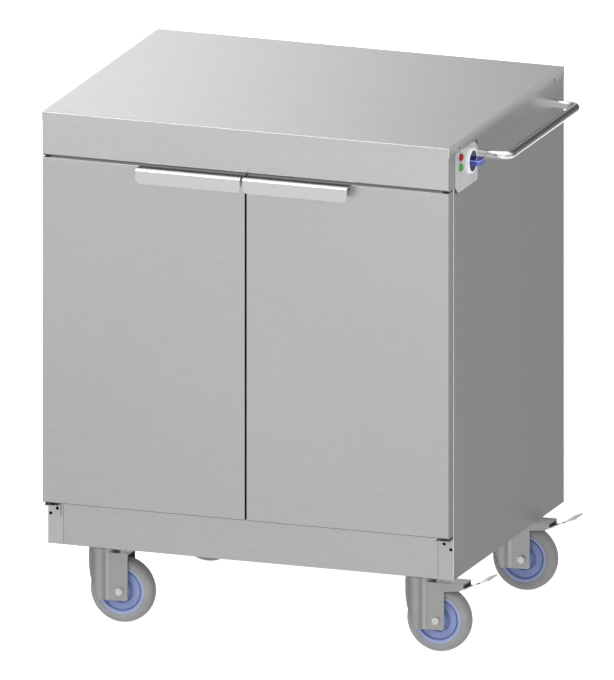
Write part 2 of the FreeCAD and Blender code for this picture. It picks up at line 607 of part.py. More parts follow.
export("lamp_lens_red", lens(RED_Z))
export("lamp_lens_green", lens(GREEN_Z))
house = [box(366.0, 376.0, LAMP_YY - 7.0, LAMP_YY + 7.0, GREEN_Z - 8.0, RED_Z + 8.0)]
for z in (RED_Z, GREEN_Z):
    house.append(cylx(LAMP_YY, z, 5.9, 375.0, LX1))
    house.append(cylx(LAMP_YY, z, 9.0, BODY_X - SHEET - 4.0, BODY_X - SHEET))
export("lamp_housing", fuse(house))

bez = cylx(KNOB_YY, KNOB_ZZ, BEZEL_R, LX1, LX1 + 7.4)
bez = bez.makeFillet(1.6, [e for e in bez.Edges if e.Curve.TypeId == "Part::GeomCircle" and abs(e.Curve.Center.x - (LX1 + 7.4)) < 1e-6])
bez = cut(bez, [cylx(KNOB_YY, KNOB_ZZ, KNOB_R + 0.7, LX1 + 1.4, LX1 + 10.0), cylx(KNOB_YY, KNOB_ZZ, 7.0, LX1 - 1, LX1 + 10.0)])
export("knob_bezel", bez)

# knob: disc with a grip bar across it
kx0 = LX1 + 2.0
disc = cylx(KNOB_YY, KNOB_ZZ, KNOB_R, kx0, kx0 + 5.4)
disc = disc.makeFillet(1.0, [e for e in disc.Edges if e.Curve.TypeId == "Part::GeomCircle" and abs(e.Curve.Center.x - (kx0 + 5.4)) < 1e-6])
bar = box(kx0 + 5.0, kx0 + 5.4 + GRIP_OUT, KNOB_YY - 18.0, KNOB_YY + 18.0, KNOB_ZZ - 5.0, KNOB_ZZ + 5.0)
bar = fillet_where(bar, 9.0, lambda p, d: abs(d.z) > 1 and p.x > kx0 + 5.3 + GRIP_OUT)
bar = fillet_where(bar, 1.4, lambda p, d: abs(p.z - KNOB_ZZ) > 4.9 and p.x > kx0 + 5.1)
knob = fuse([disc, bar]).cut(cylx(KNOB_YY, KNOB_ZZ, 3.0, kx0 - 1, kx0 + 8.0))
export("control_knob", knob)
export("thermostat_spindle", cylx(KNOB_YY, KNOB_ZZ, 3.0, 372.0, kx0 + 8.0))

th_x1 = BODY_X - SHEET
th = box(352.0, th_x1, KNOB_YY - 22.0, KNOB_YY + 22.0, KNOB_ZZ - 24.0, KNOB_ZZ + 24.0)
th = fillet_where(th, 3.0, lambda p, d: abs(d.x) > 1)
th = fuse([th, cylx(KNOB_YY, KNOB_ZZ, 5.0, th_x1, LX1 + 1.4)])
th = th.cut(cylx(KNOB_YY, KNOB_ZZ, 3.06, 371.0, 410.0))
# capillary and bulb run down into the cavity through the ceiling
cap = tube([(362.0, KNOB_YY, KNOB_ZZ - 24.0), (362.0, KNOB_YY, KNOB_ZZ - 40.0), (345.0, KNOB_YY, CAV_Z1 - 8.0)],
           8.0, 1.5)
bulb = cylz(345.0, KNOB_YY, 4.0, CAV_Z1 - 90.0, CAV_Z1 - 6.0)
export("thermostat", fuse([th, cap, bulb]))

tb = box(312.0, 372.0, 228.0, 252.0, CAV_Z1 + SHEET, CAV_Z1 + SHEET + 22.0)
for i in range(5):
    tb = tb.cut(cylz(320.0 + i * 11.0, 240.0, 3.2, CAV_Z1 + SHEET + 12.0, CAV_Z1 + SHEET + 30.0))
export("terminal_block", tb)

loom = []
l1 = tube([(335.0, 228.0, 892.0), (335.0, -60.0, 892.0), (366.0, -118.0, 940.0), (366.0, KNOB_YY + 22.0, 940.0)], 30.0, 4.0)
l2 = tube([(383.0, 0.0, 292.0), (383.0, 0.0, 892.0), (360.0, 60.0, 892.0), (360.0, 228.0, 892.0)], [20.0, 30.0], 4.0)
l3 = tube([(358.0, KNOB_YY - 22.0, 945.5), (358.0, LAMP_YY, 945.5), (366.0, LAMP_YY, 945.5)], 5.0, 2.5)
l4 = tube([(GLAND_X, REAR_Y - 22.0, GLAND_Z), (GLAND_X, 270.0, GLAND_Z), (GLAND_X, 264.0, 892.0), (GLAND_X, 252.0, 892.0)], [14.0, 8.0], 4.0)
export("wiring_loom", [l1, l2, l3, l4])

# supply gland: threaded body through the back panel, dome nut outside
g_in = cyly(GLAND_X, GLAND_Z, 10.0, REAR_Y - SHEET, REAR_Y)
g_nut = hexagon(GLAND_X, REAR_Y - SHEET - 5.0, GLAND_Z, 26.0, "y", 5.0)
g_tail = cyly(GLAND_X, GLAND_Z, 10.0, REAR_Y - SHEET - 14.0, REAR_Y - SHEET)
g_hex = hexagon(GLAND_X, REAR_Y, GLAND_Z, 24.0, "y", 8.0)
g_dome = Part.makeCone(11.5, 8.5, GLAND_OUT - 8.0, V(GLAND_X, REAR_Y + 8.0, GLAND_Z), V(0, 1, 0))
gland = fuse([g_in, g_nut, g_tail, g_hex, g_dome]).cut(cyly(GLAND_X, GLAND_Z, 5.0, 280.0, 360.0))
export("supply_gland", gland)

# ---------------------------------------------------------------------------
# casters
# ---------------------------------------------------------------------------
plates_, forks, hubs, tyres, pedals = [], {}, {}, {}, {}


def fork_outline(a, b, y, x_end):
    """Cheeks at +-y from x_end back to an elliptical nose about the swivel axis."""
    dx_ = a * math.sqrt(1.0 - (y / b) ** 2)
    xj = -TRAIL + dx_
    pts = [(x_end, -y), (xj, -y)]
    t0 = math.atan2(-y / b, dx_ / a)
    n = 40
    for i in range(1, n):
        t = t0 - (2 * math.pi + 2 * t0) * i / n
        pts.append((-TRAIL + a * math.cos(t), b * math.sin(t)))
    pts += [(xj, y), (x_end, y)]
    return pts


def make_fork(brake):
    o = prism([(x, y, FORK_BOTTOM) for x, y in fork_outline(FORK_NOSE_A, FORK_NOSE_B, FORK_Y, 15.7)],
              (0, 0, FORK_TOP - FORK_BOTTOM))
    i = prism([(x, y, FORK_BOTTOM - 1) for x, y in
               fork_outline(FORK_NOSE_A - FORK_T, FORK_NOSE_B - FORK_T, FORK_Y - FORK_T, 16.7)],
              (0, 0, FORK_TOP - 3.0 - FORK_BOTTOM + 1))
    s = o.cut(i)
    # tapering front edge of the nose
    s = s.cut(prism([(-90, -40, 80), (-67, -40, 55), (-58, -40, 23), (-39, -40, -18), (-37, -40, -30), (-90, -40, -30)], (0, 80, 0)))
    # rounded lower rear corner of each cheek
    c = box(10.7, 20.0, -40, 40, -30, -13.0).cut(cyly(10.7, -13.0, 5.0, -41, 41))
    s = s.cut(c)
    if brake:
        ch = [prism([(15.0, yy, 56.0), (15.0, yy, FORK_TOP), (53.4, yy, FORK_TOP), (53.4, yy, 64.0), (46.0, yy, 59.5), (16.0, yy, 56.0)],
                    (0, FORK_T, 0)) for yy in (-FORK_Y, FORK_Y - FORK_T)]
        ch.append(box(15.0, 53.4, -FORK_Y, FORK_Y, FORK_TOP - 3.0, FORK_TOP))
        s = fuse([s] + ch)
        s = s.cut(cyly(PEDAL_PIVOT[0], PEDAL_PIVOT[1], 3.0, -40, 40))
    # lower race of the swivel head
    head = cylz(-TRAIL, 0, 29.0, FORK_TOP, FORK_TOP + 10.0)
    head = head.makeFillet(3.0, [e for e in head.Edges if e.Curve.TypeId == "Part::GeomCircle" and abs(e.Curve.Center.z - FORK_TOP - 10.0) < 1e-6])
    s = fuse([s, head])
    s = cut(s, [cylz(-TRAIL, 0, 5.06, 50, 100), cyly(0, 0, 4.05, -40, 40)])
    return s


axle = fuse([cyly(0, 0, 4.0, -FORK_Y, FORK_Y + 6.5 + 2.0),
             hexagon(0, -FORK_Y - 5.3, 0, 13.0, "y", 5.3, 30.0),
             hexagon(0, FORK_Y, 0, 13.0, "y", 6.5, 30.0)])

hub_prof = [(4.06, -18.4), (15.8, -18.4), (17.0, -17.2), (18.0, -8.0), (22.0, -8.0), (24.0, -10.6), (36.4, -10.6), (37.4, -8.6),
            (38.6, -8.6), (39.6, -13.2), (41.0, -14.4), (HUB_R, -14.4),
            (HUB_R, 14.4), (41.0, 14.4), (39.6, 13.2), (38.6, 8.6), (37.4, 8.6), (36.4, 10.6), (24.0, 10.6), (22.0, 8.0),
            (18.0, 8.0), (17.0, 17.2), (15.8, 18.4), (4.06, 18.4)]
hub = revolve_y(hub_prof, 0, 0)

# tyre: rounded shoulders and a slightly crowned tread
tp = [V(HUB_R, 0, 0)]
e1 = Part.LineSegment(V(HUB_R, -15.0, 0), V(48.0, -TYRE_HALF, 0)).toShape()
e2 = Part.LineSegment(V(48.0, -TYRE_HALF, 0), V(52.5, -TYRE_HALF, 0)).toShape()
e3 = Part.Arc(V(52.5, -TYRE_HALF, 0), V(59.4, -11.6, 0), V(62.0, -5.0, 0)).toShape()
e4 = Part.Arc(V(62.0, -5.0, 0), V(WHEEL_R, 0.0, 0), V(62.0, 5.0, 0)).toShape()
e5 = Part.Arc(V(62.0, 5.0, 0), V(59.4, 11.6, 0), V(52.5, TYRE_HALF, 0)).toShape()
e6 = Part.LineSegment(V(52.5, TYRE_HALF, 0), V(48.0, TYRE_HALF, 0)).toShape()
e7 = Part.LineSegment(V(48.0, TYRE_HALF, 0), V(HUB_R, 15.0, 0)).toShape()
e8 = Part.LineSegment(V(HUB_R, 15.0, 0), V(HUB_R, -15.0, 0)).toShape()
tyre = Part.Face(Part.Wire([e1, e2, e3, e4, e5, e6, e7, e8])).revolve(V(0, 0, 0), V(0, 1, 0), 360)

# brake pedal: plate bent in XZ, cut to a plan outline with a narrow neck and a wide leaf
pv = PEDAL_PIVOT
side_prof = [(39.0, 61.6), (54.0, 61.9), (66.0, 66.0), (78.0, 73.0), (90.0, 79.5), (104.0, 84.6),
             (103.2, 87.0), (89.0, 81.9), (77.0, 75.4), (65.0, 68.4), (53.4, 64.4), (38.0, 64.1)]
pp = prism([(x, -40.0, z) for x, z in side_prof], (0, 80, 0))
half = [(30.0, 17.8), (54.0, 17.8), (60.0, 11.0), (66.0, 6.5), (74.0, 6.5), (79.0, 10.0), (83.0, 18.0), (86.5, 23.0), (90.0, 24.8),
        (102.0, 24.8), (104.6, 23.0), (105.6, 18.0)]
plan = [(x, -y) for x, y in half] + [(106.0, 0.0)] + [(x, y) for x, y in reversed(half)]
pl = prism([(x, y, 40.0) for x, y in plan], (0, 0, 60))
plate_ = pp.common(pl)
barrel = cyly(pv[0], pv[1], 5.0, -17.8, 17.8)
# brake shoe lobe, pointing at the tread
ang0 = math.atan2(-pv[1], -pv[0]) - math.radians(38.0)
ang1 = ang0 + math.radians(26.0)
lobe = prism([(pv[0], -12.0, pv[1]), (pv[0] + 9.0 * math.cos(ang0), -12.0, pv[1] + 9.0 * math.sin(ang0)),
              (pv[0] + 9.2 * math.cos((ang0 + ang1) / 2), -12.0, pv[1] + 9.2 * math.sin((ang0 + ang1) / 2)),
              (pv[0] + 9.0 * math.cos(ang1), -12.0, pv[1] + 9.0 * math.sin(ang1))], (0, 24.0, 0))
pedal = fuse([plate_, barrel, lobe]).cut(cyly(pv[0], pv[1], 3.06, -40, 40))
pedal_pin = cyly(pv[0], pv[1], 3.0, -FORK_Y, FORK_Y)

for name, (cx, cy) in caster_pos.items():
    brake = name.endswith("right")
    wc = V(cx + TRAIL, cy, WHEEL_R)
    f = make_fork(brake)
    group = [f, axle] + ([pedal_pin] if brake else [])
    out = []
    for s in group:
        c = s.copy()
        c.translate(wc)
        out.append(c)
    export("caster_fork_%s" % name, out)
    for nm, s in (("wheel_hub", hub), ("wheel_tyre", tyre)):
        c = s.copy()
        c.translate(wc)
        export("%s_%s" % (nm, name), c)
    if brake:
        c = pedal.copy()
        c.translate(wc)
        export("brake_pedal_%s" % name, c)
    # fixed top plate with upper race and riveted kingpin
    p = box(cx - 47.5, cx + 47.5, cy - 37.5, cy + 37.5, PLATE_Z[0], PLATE_Z[1])
    p = fillet_where(p, 6.0, lambda q, d: abs(d.z) > 0.5)
    race = cylz(cx, cy, 26.0, WHEEL_R + FORK_TOP + 10.5, PLATE_Z[0])
    pin = cylz(cx, cy, 5.0, 125.0, PLATE_Z[0])
    rivet = cylz(cx, cy, 9.0, 124.0, WHEEL_R + FORK_TOP - 3.0 - 0.4)
    p = fuse([p, race, pin, rivet])
    for dx in (-BOLT_DX, BOLT_DX):
        for dy in (-BOLT_DY, BOLT_DY):
            p = p.cut(cylz(cx + dx, cy + dy, 4.2, PLATE_Z[0] - 1, PLATE_Z[1] + 1))
    plates_.append(p)
export("caster_top_plates", plates_)
print("shift", SHIFT_X, SHIFT_Y, "box", BOX_X0 + SHIFT_X, BOX_X1 + SHIFT_X, BOX_Y0 + SHIFT_Y, BOX_Y1 + SHIFT_Y)
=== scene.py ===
import json
import math
import bpy
import bmesh
from mathutils import Matrix, Quaternion, Vector


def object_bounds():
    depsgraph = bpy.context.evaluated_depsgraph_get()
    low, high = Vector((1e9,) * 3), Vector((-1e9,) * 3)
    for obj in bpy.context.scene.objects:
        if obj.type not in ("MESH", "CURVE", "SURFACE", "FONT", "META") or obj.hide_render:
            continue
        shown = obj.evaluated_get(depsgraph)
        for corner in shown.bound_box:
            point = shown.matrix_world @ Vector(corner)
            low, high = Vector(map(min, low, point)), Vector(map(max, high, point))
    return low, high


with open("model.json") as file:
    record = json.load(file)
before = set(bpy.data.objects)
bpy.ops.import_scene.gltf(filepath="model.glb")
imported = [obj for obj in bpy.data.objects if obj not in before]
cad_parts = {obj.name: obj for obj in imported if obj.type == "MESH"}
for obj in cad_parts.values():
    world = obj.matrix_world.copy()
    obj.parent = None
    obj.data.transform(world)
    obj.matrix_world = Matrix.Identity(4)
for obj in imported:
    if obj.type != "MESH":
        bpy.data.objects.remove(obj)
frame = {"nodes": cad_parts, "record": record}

CAD_LO, CAD_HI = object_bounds()
N = frame["nodes"]
scene = bpy.context.scene
# metres; the row frame is the design frame moved by this much
SX, SY = CAD_LO.x + 0.400, 0.0005


def P(x, y, z):
    """Design millimetres to the row frame in metres."""
    return Vector((x / 1000 + SX, y / 1000 + SY, z / 1000))


# ---------------------------------------------------------------------------
# camera: parallel projection, azimuth 19.8, elevation 14.9
# ---------------------------------------------------------------------------
AZ, EL = math.radians(19.79), math.radians(14.877)
back = Vector((math.sin(AZ) * math.cos(EL), -math.cos(AZ) * math.cos(EL), math.sin(EL)))
right_v = Vector((math.cos(AZ), math.sin(AZ), 0))
up_v = back.cross(right_v)
aim = P(0, -316, 988) + right_v * 0.11405 - up_v * 0.38827
cam_data = bpy.data.cameras.new("camera")
cam_data.type = "ORTHO"
cam_data.ortho_scale = 1.25648
dist = 52.4476
cam_data.clip_start, cam_data.clip_end = 1.0, 200.0
cam = bpy.data.objects.new("camera", cam_data)
scene.collection.objects.link(cam)
cam.rotation_mode = "QUATERNION"
cam.location = aim + back * dist
cam.rotation_quaternion = (-back).to_track_quat("-Z", "Y")
scene.camera = cam
scene.view_settings.view_transform = "Standard"
scene.view_settings.look = "None"
scene.view_settings.exposure = 0.0
scene.view_settings.gamma = 1.0


# ---------------------------------------------------------------------------
# node helpers
# ---------------------------------------------------------------------------
class Mat:
    def __init__(self, name):
        self.m = bpy.data.materials.new(name)
        self.m.use_nodes = True
        self.nt = self.m.node_tree
        self.nt.nodes.clear()
        self.out = self.nt.nodes.new("ShaderNodeOutputMaterial")
        self.b = self.nt.nodes.new("ShaderNodeBsdfPrincipled")
        self.nt.links.new(self.b.outputs[0], self.out.inputs["Surface"])
        tc = self.nt.nodes.new("ShaderNodeTexCoord")
        self.obj = tc.outputs["Object"]
        self.normal_sock = None

    def link(self, a, b):
        self.nt.links.new(a, b)

    def put(self, sock, v):
        if isinstance(v, bpy.types.NodeSocket):
            self.nt.links.new(v, sock)
        elif v is not None:
            sock.default_value = v

    def set(self, **kw):
        names = {"base": "Base Color", "metal": "Metallic", "rough": "Roughness", "ior": "IOR", "spec": "Specular IOR Level",
                 "aniso": "Anisotropic", "anisorot": "Anisotropic Rotation", "coat": "Coat Weight", "coatrough": "Coat Roughness",
                 "emit": "Emission Color", "emits": "Emission Strength", "trans": "Transmission Weight", "sss": "Subsurface Weight",
                 "sheen": "Sheen Weight", "normal": "Normal", "tangent": "Tangent", "alpha": "Alpha"}
        for k, v in kw.items():
            s = self.b.inputs[names[k]]
            if isinstance(v, (tuple, list)) and len(v) == 3 and s.type == "RGBA":
                v = (*v, 1.0)
            self.put(s, v)
        return self

    def mapping(self, scale=(1, 1, 1), rot=(0, 0, 0), loc=(0, 0, 0), src=None):
        n = self.nt.nodes.new("ShaderNodeMapping")
        self.link(src or self.obj, n.inputs["Vector"])
        n.inputs["Scale"].default_value = scale
        n.inputs["Rotation"].default_value = rot
        n.inputs["Location"].default_value = loc
        return n.outputs[0]

    def noise(self, vec, scale, detail=2.0, rough=0.5, dist=0.0, lac=2.0):
        n = self.nt.nodes.new("ShaderNodeTexNoise")
        self.link(vec, n.inputs["Vector"])
        n.inputs["Scale"].default_value = scale
        n.inputs["Detail"].default_value = detail
        n.inputs["Roughness"].default_value = rough
        n.inputs["Distortion"].default_value = dist
        n.inputs["Lacunarity"].default_value = lac
        return n.outputs["Fac"]

    def voronoi(self, vec, scale, feature="F1", out="Distance", rand=1.0):
        n = self.nt.nodes.new("ShaderNodeTexVoronoi")
        n.feature = feature
        self.link(vec, n.inputs["Vector"])
        n.inputs["Scale"].default_value = scale
        n.inputs["Randomness"].default_value = rand
        return n.outputs[out]

    def ramp(self, fac, stops, interp="LINEAR"):
        n = self.nt.nodes.new("ShaderNodeValToRGB")
        cr = n.color_ramp
        cr.interpolation = interp
        while len(cr.elements) < len(stops):
            cr.elements.new(0.5)
        for e, (p, c) in zip(cr.elements, stops):
            e.position = p
            e.color = (c, c, c, 1) if isinstance(c, (int, float)) else (*c, 1) if len(c) == 3 else c
        self.put(n.inputs["Fac"], fac)
        return n.outputs["Color"]

    def math(self, op, a, b=None, c=None, clamp=False):
        n = self.nt.nodes.new("ShaderNodeMath")
        n.operation = op
        n.use_clamp = clamp
        self.put(n.inputs[0], a)
        if b is not None:
            self.put(n.inputs[1], b)
        if c is not None:
            self.put(n.inputs[2], c)
        return n.outputs[0]

    def mapr(self, v, a, b, c, d, clamp=True, smooth=False):
        n = self.nt.nodes.new("ShaderNodeMapRange")
        n.clamp = clamp
        if smooth:
            n.interpolation_type = "SMOOTHSTEP"
        self.put(n.inputs["Value"], v)
        for k, x in zip(("From Min", "From Max", "To Min", "To Max"), (a, b, c, d)):
            self.put(n.inputs[k], x)
        return n.outputs["Result"]

    def mix(self, fac, a, b, mode="MIX"):
        n = self.nt.nodes.new("ShaderNodeMix")
        n.data_type = "RGBA"
        n.blend_type = mode
        n.clamp_factor = True
        self.put(n.inputs[0], fac)
        for i, v in ((6, a), (7, b)):
            if isinstance(v, (tuple, list)):
                v = (*v, 1.0) if len(v) == 3 else v
            self.put(n.inputs[i], v)
        return n.outputs[2]

    def grey(self, v):
        n = self.nt.nodes.new("ShaderNodeCombineColor")
        for i in range(3):
            self.put(n.inputs[i], v)
        return n.outputs[0]

    def sep(self, src=None):
        n = self.nt.nodes.new("ShaderNodeSeparateXYZ")
        self.link(src or self.obj, n.inputs[0])
        return n.outputs

    def bump(self, height, strength, distance, prev=None):
        n = self.nt.nodes.new("ShaderNodeBump")
        n.inputs["Strength"].default_value = strength
        n.inputs["Distance"].default_value = distance
        self.link(height, n.inputs["Height"])
        p = prev or self.normal_sock
        if p is not None:
            self.link(p, n.inputs["Normal"])
        self.normal_sock = n.outputs[0]
        self.put(self.b.inputs["Normal"], self.normal_sock)
        return n.outputs[0]

    def edge_wear(self, radius, samples=4):
        n = self.nt.nodes.new("ShaderNodeNewGeometry")
        return n.outputs["Pointiness"]


def stretch(axis, along, across):
    """Scale vector that draws a noise out along one axis."""
    return tuple(along if i == axis else across for i in range(3))


def brushed(name, dark, light, axis, rough=(0.30, 0.42), metal=1.0, aniso=0.55, grain=1.0, bump=0.06, cloud=0.25, edge_highlight=0.0,
            along=60.0, across=400.0, gap_shade_glow=None, slot_glow=None, grade=None):
    """Brushed stainless sheet. axis 0, 1 or 2 is the direction of the brushing.
    The edge strength paints a highlight on the folded side bends: their colour is lightened and they glow faintly."""
    m = Mat(name)
    fine = m.noise(m.mapping(stretch(axis, along, across * 2.7)), 1.0, 3.0, 0.62)
    dash = m.noise(m.mapping(stretch(axis, along * 0.8, across), loc=(3.1, 1.7, 5.3)), 1.0, 2.0, 0.6)
    wide = m.noise(m.mapping(stretch(axis, along * 0.3, across * 0.4), loc=(7.1, 4.7, 2.3)), 1.0, 2.0, 0.5)
    cl = m.noise(m.mapping((2.2, 2.2, 2.2), loc=(0.3, 9.7, 1.3)), 1.0, 2.0, 0.5)
    streak = m.math("ADD", m.math("MULTIPLY", fine, 0.35), m.math("ADD", m.math("MULTIPLY", dash, 0.50), m.math("MULTIPLY", wide, 0.15)))
    f = m.mapr(streak, 0.5 - 0.20 / grain, 0.5 + 0.20 / grain, 0.0, 1.0)
    f2 = m.math("ADD", m.math("MULTIPLY", f, 1.0 - cloud), m.math("MULTIPLY", m.mapr(cl, 0.3, 0.7, 0.0, 1.0), cloud))
    col = m.mix(f2, dark, light)
    # sparse scratches, lighter and short, along the brushing
    sc = m.noise(m.mapping(stretch(axis, along * 1.3, across * 3.5), loc=(1.9, 8.2, 6.4)), 1.0, 1.0, 0.4)
    scr = m.mapr(sc, 0.70, 0.78, 0.0, 1.0)
    col = m.mix(m.math("MULTIPLY", scr, 0.25), col, tuple(min(1.0, c * 1.2) for c in light))
    rg = m.mapr(streak, 0.32, 0.68, rough[1], rough[0])
    x, y, z = m.sep()
    nx, ny, nz = m.sep(m.nt.nodes.new("ShaderNodeTexCoord").outputs["Normal"])
    ax, ay, az_ = (m.math("ABSOLUTE", v) for v in (nx, ny, nz))
    em = None
    if grade == "front":
        # painted light: the sheet is coloured brighter towards the top and a little towards the right
        fz = m.ramp(m.mapr(z, 0.13, 0.99, 0.0, 1.0), [(0.0, 0.935), (0.12, 0.955), (0.5, 1.01), (0.885, 1.07), (0.905, 1.165), (1.0, 1.185)])
        fx = m.mapr(m.math("SUBTRACT", x, SX), -0.40, 0.40, 0.975, 1.025)
        col = m.mix(1.0, col, m.mix(1.0, fz, m.grey(fx), "MULTIPLY"), "MULTIPLY")
        # painted shade: folds along the top and bottom edges are darkened, the downward-facing ones more
        fold = m.math("MULTIPLY", m.mapr(ay, 0.08, 0.15, 0.0, 1.0), m.mapr(az_, 0.08, 0.25, 0.0, 1.0))
        dim = m.math("ADD", 0.30, m.math("MULTIPLY", m.math("GREATER_THAN", nz, 0.0), 0.34))
        col = m.mix(fold, col, m.mix(1.0, col, m.grey(dim), "MULTIPLY"))
    if grade == "side":
        # painted light and shade: darker towards the rear, lighter near the top, darker on faces turned to the front or
        # back
        fy = m.mapr(y, P(0, -290, 0).y, P(0, 320, 0).y, 1.01, 0.93)
        up = m.mapr(z, 0.940, 0.966, 1.0, 1.16, smooth=True)
        front = m.mapr(ay, 0.80, 0.95, 1.0, 0.84)
        col = m.mix(1.0, col, m.grey(m.math("MULTIPLY", front, m.math("MULTIPLY", fy, up))), "MULTIPLY")
    if grade == "top":
        # painted highlight: the turned-down side edges are lightened near the fold and glow along its top, and faces
        # turned to the front or back are lightened
        side = m.math("GREATER_THAN", m.math("ABSOLUTE", m.math("SUBTRACT", x, SX)), 0.3993)
        f3 = m.math("ADD", 1.0, m.math("MULTIPLY", side, m.mapr(z, 0.962, 0.986, -0.02, 0.72)))
        f3 = m.math("MULTIPLY", f3, m.mapr(ay, 0.80, 0.95, 1.0, 1.19))
        col = m.mix(1.0, col, m.grey(f3), "MULTIPLY")
        em = m.math("MULTIPLY", m.math("MULTIPLY", side, m.math("GREATER_THAN", z, 0.9868)), 0.22)
    if grade == "pull":
        # painted highlight: the wide bend along the top of the lip glows bright
        bend = m.math("MULTIPLY", m.mapr(nz, 0.10, 0.34, 0.0, 1.0, smooth=True), m.mapr(nz, 0.80, 0.93, 1.0, 0.0, smooth=True))
        bend = m.math("MULTIPLY", bend, m.math("LESS_THAN", ny, -0.1))
        em = m.math("MULTIPLY", bend, 0.38)
    if grade == "tube":
        # painted reflection: the straight grip is coloured darker than the two legs, with one painted bright line low
        # on its outer side that also glows
        bar = m.mapr(x, P(443.0, 0, 0).x, P(447.0, 0, 0).x, 0.0, 1.0, smooth=True)
        bar = m.math("MULTIPLY", bar, m.mapr(ay, 0.25, 0.60, 1.0, 0.0, smooth=True))
        low = m.mapr(nz, -0.34, -0.14, 1.0, 0.0, smooth=True)
        tone = m.math("ADD", 0.50, m.math("MULTIPLY", low, 0.75))
        col = m.mix(bar, col, m.mix(1.0, col, m.grey(tone), "MULTIPLY"))
        em = m.math("MULTIPLY", m.math("MULTIPLY", bar, low), 0.22)
    if edge_highlight:
        # painted highlight: the folded bends are lightened and glow faintly
        big = m.math("MAXIMUM", ax, m.math("MAXIMUM", ay, az_))
        bend = m.math("MULTIPLY", m.mapr(big, 0.985, 0.90, 0.0, 1.0, smooth=True), m.mapr(ax, 0.10, 0.25, 0.0, 1.0))
        col = m.mix(m.math("MULTIPLY", bend, 0.6), col, (0.80, 0.80, 0.795))
        lit = m.math("MULTIPLY", bend, edge_highlight)
        em = m.math("ADD", em, lit) if em is not None else lit
    if gap_shade_glow is not None:
        # painted shade: the two meeting edges of the doors are coloured near black behind the first millimetre, where
        # they lie in deep shadow
        inx = m.math("LESS_THAN", m.math("ABSOLUTE", m.math("SUBTRACT", x, SX)), 0.0017)
        iny = m.math("MULTIPLY", m.math("GREATER_THAN", y, P(0, -318.6, 0).y), m.math("GREATER_THAN", z, 0.2365))
        iny = m.math("MULTIPLY", iny, m.math("LESS_THAN", z, 0.9011))
        col = m.mix(m.math("MULTIPLY", m.math("MULTIPLY", inx, iny), 0.97), col, (0.01, 0.01, 0.01))
        # painted light: the doors' top faces glow, standing in for the light that comes in under the fascia
        topf = m.math("MULTIPLY", m.math("GREATER_THAN", z, 0.9002), m.math("LESS_THAN", z, 0.9012))
        topf = m.math("MULTIPLY", topf, m.math("LESS_THAN", m.math("ABSOLUTE", m.math("SUBTRACT", x, SX)), 0.386))
        topf = m.math("MULTIPLY", topf, gap_shade_glow)
        em = m.math("MAXIMUM", em, topf) if em is not None else topf
    if slot_glow:
        # painted light: faces just inside the slot between the doors and the side panels glow faintly
        near = m.math("MULTIPLY", m.math("LESS_THAN", y, P(0, -285.2, 0).y), slot_glow)
        em = m.math("ADD", em, near) if em is not None else near
    m.set(base=col, metal=metal, aniso=aniso, rough=rg)
    if em is not None:
        m.set(emit=(1.0, 1.0, 0.99), emits=em)
    m.m.cycles.emission_sampling = "NONE"
    m.bump(streak, bump, 0.0004)
    t = m.nt.nodes.new("ShaderNodeVectorTransform")
    t.vector_type = "VECTOR"
    t.convert_from = "OBJECT"
    t.convert_to = "WORLD"
    v = [0.0, 0.0, 0.0]
    v[axis] = 1.0
    t.inputs[0].default_value = v
    m.put(m.b.inputs["Tangent"], t.outputs[0])
    return m.m


def plastic(name, dark, light, rough=(0.35, 0.5), grain=900.0, bump=0.05, metal=0.0, spec=0.5, coat=None, coatrough=0.1, sss=None):
    m = Mat(name)
    n1 = m.noise(m.mapping(), grain, 2.0, 0.5)
    n2 = m.noise(m.mapping(loc=(4.2, 1.1, 7.7)), 25.0, 3.0, 0.55)
    f = m.math("ADD", m.math("MULTIPLY", m.mapr(n2, 0.3, 0.7, 0, 1), 0.7), m.math("MULTIPLY", m.mapr(n1, 0.3, 0.7, 0, 1), 0.3))
    m.set(base=m.mix(f, dark, light), metal=metal, spec=spec, rough=m.mapr(n2, 0.3, 0.7, rough[0], rough[1]))
    if coat:
        m.set(coat=coat, coatrough=coatrough)
    if sss:
        m.set(sss=sss)
    m.bump(n1, bump, 0.0003)
    return m.m


MATS = {}
MATS["steel_top"] = brushed("steel_top", (0.478, 0.478, 0.470), (0.508, 0.508, 0.500), 0, edge_highlight=0.10, bump=0.03, along=40, grade="top")
MATS["steel_front"] = brushed("steel_front", (0.465, 0.465, 0.457), (0.535, 0.535, 0.526), 0, gap_shade_glow=0.15, grade="front")
MATS["steel_side"] = brushed("steel_side", (0.485, 0.485, 0.478), (0.510, 0.510, 0.503), 2, edge_highlight=0.06, slot_glow=0.05, bump=0.03, along=30, across=500, grade="side")
MATS["steel_pull"] = brushed("steel_pull", (0.63, 0.63, 0.625), (0.70, 0.70, 0.695), 0, rough=(0.18, 0.26), bump=0.03, grade="pull")
MATS["steel_inner"] = brushed("steel_inner", (0.50, 0.50, 0.50), (0.60, 0.60, 0.60), 1, rough=(0.28, 0.38), grain=0.7)
MATS["steel_shelf"] = brushed("steel_shelf", (0.56, 0.56, 0.56), (0.66, 0.66, 0.66), 0, rough=(0.26, 0.36), grain=0.7)
MATS["steel_bracket"] = brushed("steel_bracket", (0.42, 0.42, 0.415), (0.50, 0.50, 0.495), 0, rough=(0.3, 0.4))
MATS["polished_tube"] = brushed("polished_tube", (0.74, 0.74, 0.735), (0.84, 0.84, 0.835), 1, rough=(0.08, 0.15), aniso=0.2, bump=0.02, cloud=0.2, grade="tube")
MATS["fastener_steel"] = plastic("fastener_steel", (0.66, 0.65, 0.63), (0.80, 0.79, 0.77), rough=(0.25, 0.42), metal=1.0, grain=1800, bump=0.06)
MATS["pedal_steel"] = brushed("pedal_steel", (0.84, 0.84, 0.83), (0.93, 0.93, 0.92), 0, rough=(0.20, 0.32), grain=0.8)
